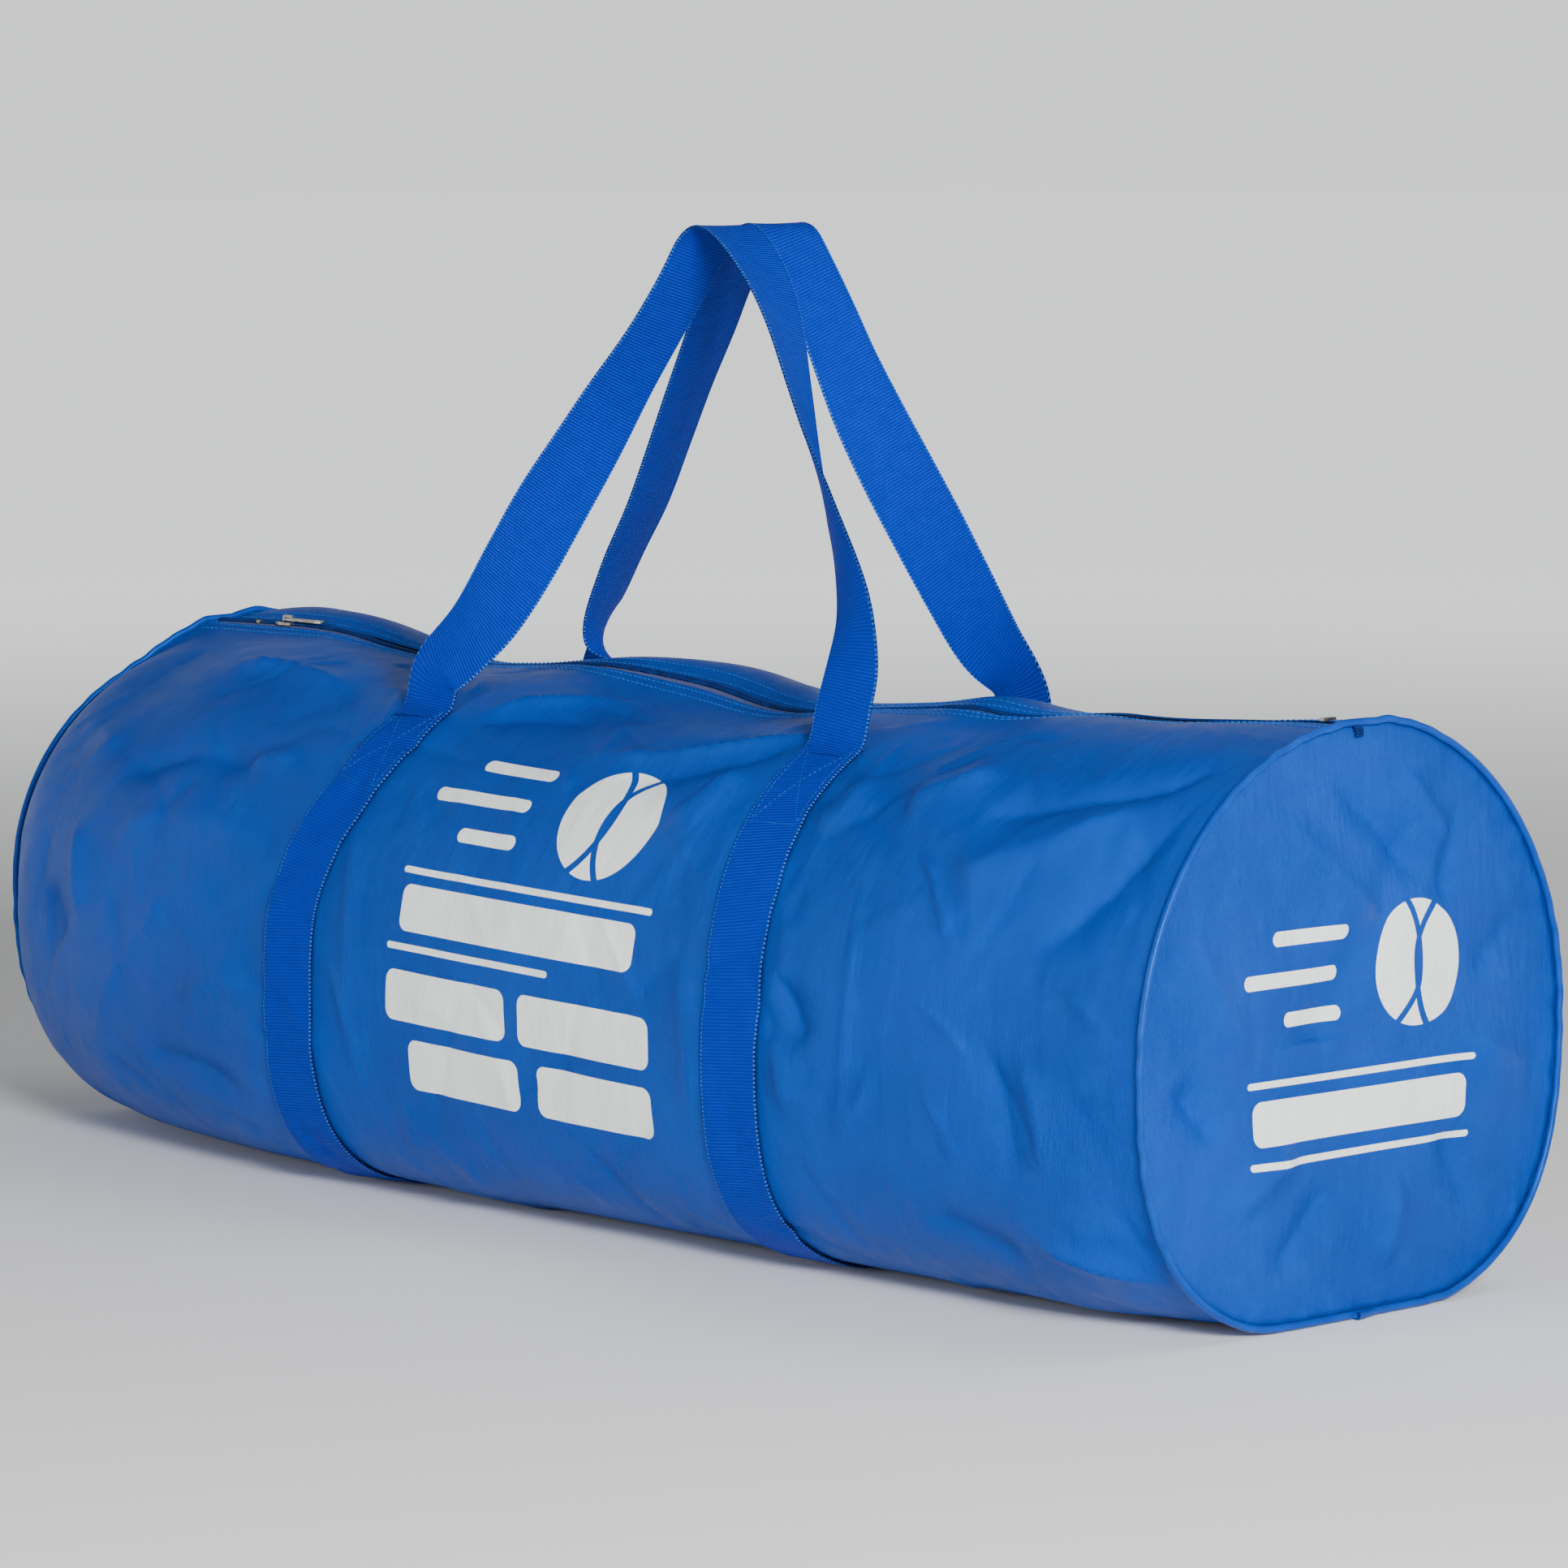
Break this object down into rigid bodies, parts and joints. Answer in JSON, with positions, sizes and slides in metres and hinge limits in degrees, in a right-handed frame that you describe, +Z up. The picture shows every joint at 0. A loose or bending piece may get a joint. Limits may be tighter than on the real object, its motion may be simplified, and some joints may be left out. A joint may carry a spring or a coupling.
{
  "type": "kit bag",
  "caption": "Long round fabric kit bag lying on its side, with a full-length top zip, piped round ends and raised webbing carry handles that run on under it as bands.",
  "frame": {"origin": "under the middle of the bag's box, on the surface it rests on", "axes": "+X along the bag towards its straight right end, -Y its front, +Z up"},
  "size_m": [0.9682, 0.3522, 0.5271],
  "materials": {
    "fabric_blue": "royal blue coated nylon with a fine diagonal weave and a soft sheen",
    "webbing_blue": "saturated blue ribbed polypropylene webbing",
    "zip_navy": "navy woven zip tape and seam binding",
    "zip_coil": "dark navy nylon coil",
    "piping_blue": "bright blue glossy PVC piping",
    "zip_metal": "worn nickel-plated zip slider, pull and stops"
  },
  "bodies": {
    "root": {"main_panel": "fabric_blue", "left_end_panel": "fabric_blue", "right_end_panel": "fabric_blue", "left_piping": "piping_blue", "right_piping": "piping_blue", "left_seam_binding": "zip_navy", "right_seam_binding": "zip_navy", "left_band": "webbing_blue", "right_band": "webbing_blue", "zip_stop_left": "zip_metal", "zip_stop_right": "zip_metal", "front_zip_tape_left": "zip_navy", "front_zip_tape_right": "zip_navy", "front_zip_coil_left": "zip_coil", "front_zip_coil_right": "zip_coil", "rear_zip_tape_left": "zip_navy", "rear_zip_tape_right": "zip_navy", "rear_zip_coil_left": "zip_coil", "rear_zip_coil_right": "zip_coil"},
    "front_mouth": {"front_mouth_panel": "fabric_blue", "front_zip_tape_mouth": "zip_navy", "front_zip_coil_mouth": "zip_coil", "front_left_band_top": "webbing_blue", "front_right_band_top": "webbing_blue"},
    "rear_mouth": {"rear_mouth_panel": "fabric_blue", "rear_zip_tape_mouth": "zip_navy", "rear_zip_coil_mouth": "zip_coil", "rear_left_band_top": "webbing_blue", "rear_right_band_top": "webbing_blue"},
    "zip_slider": {"zip_slider": "zip_metal"},
    "zip_pull": {"zip_pull": "zip_metal"},
    "front_handle": {"front_handle_left": "webbing_blue", "front_handle_right": "webbing_blue"},
    "front_arch": {"front_handle_arch": "webbing_blue"},
    "rear_handle": {"rear_handle_left": "webbing_blue", "rear_handle_right": "webbing_blue"},
    "rear_arch": {"rear_handle_arch": "webbing_blue"}
  },
  "joints": [
    {"name": "front_mouth_fold", "type": "hinge", "parent": "root", "child": "front_mouth", "pos_m": [0.03102, -0.1645, 0.18975], "axis": [1, 0, 0], "range_deg": [0, 35]},
    {"name": "rear_mouth_fold", "type": "hinge", "parent": "root", "child": "rear_mouth", "pos_m": [0.03102, 0.1395, 0.18975], "axis": [-1, 0, 0], "range_deg": [0, 35]},
    {"name": "zip_slide", "type": "slide", "parent": "root", "child": "zip_slider", "axis": [0.9995, -0.0328, 0.0044], "range_m": [0, 0.795]},
    {"name": "zip_pull_flip", "type": "hinge", "parent": "zip_slider", "child": "zip_pull", "pos_m": [-0.36879, 0.00929, 0.29123], "axis": [-0.0328, -0.9995, 0], "range_deg": [0, 150]},
    {"name": "front_handle_swing", "type": "hinge", "parent": "front_mouth", "child": "front_handle", "pos_m": [0.04, -0.096, 0.2705], "axis": [1, 0, 0], "range_deg": [0, 105]},
    {"name": "front_handle_fold", "type": "hinge", "parent": "front_handle", "child": "front_arch", "pos_m": [0.04, -0.0832, 0.3995], "axis": [1, 0, 0], "range_deg": [0, 60]},
    {"name": "rear_handle_swing", "type": "hinge", "parent": "rear_mouth", "child": "rear_handle", "pos_m": [0.015, 0.063, 0.2705], "axis": [-1, 0, 0], "range_deg": [0, 105]},
    {"name": "rear_handle_fold", "type": "hinge", "parent": "rear_handle", "child": "rear_arch", "pos_m": [0.015, 0.0516, 0.3995], "axis": [-1, 0, 0], "range_deg": [0, 60]}
  ],
  "couplings": [
    {"joint": "rear_mouth_fold", "follows": "front_mouth_fold", "ratio": 1},
    {"joint": "zip_slide", "follows": "front_mouth_fold", "m_per_rad": 1.3006},
    {"joint": "front_handle_fold", "follows": "front_handle_swing", "ratio": 0.5},
    {"joint": "rear_handle_fold", "follows": "rear_handle_swing", "ratio": 0.5}
  ]
}
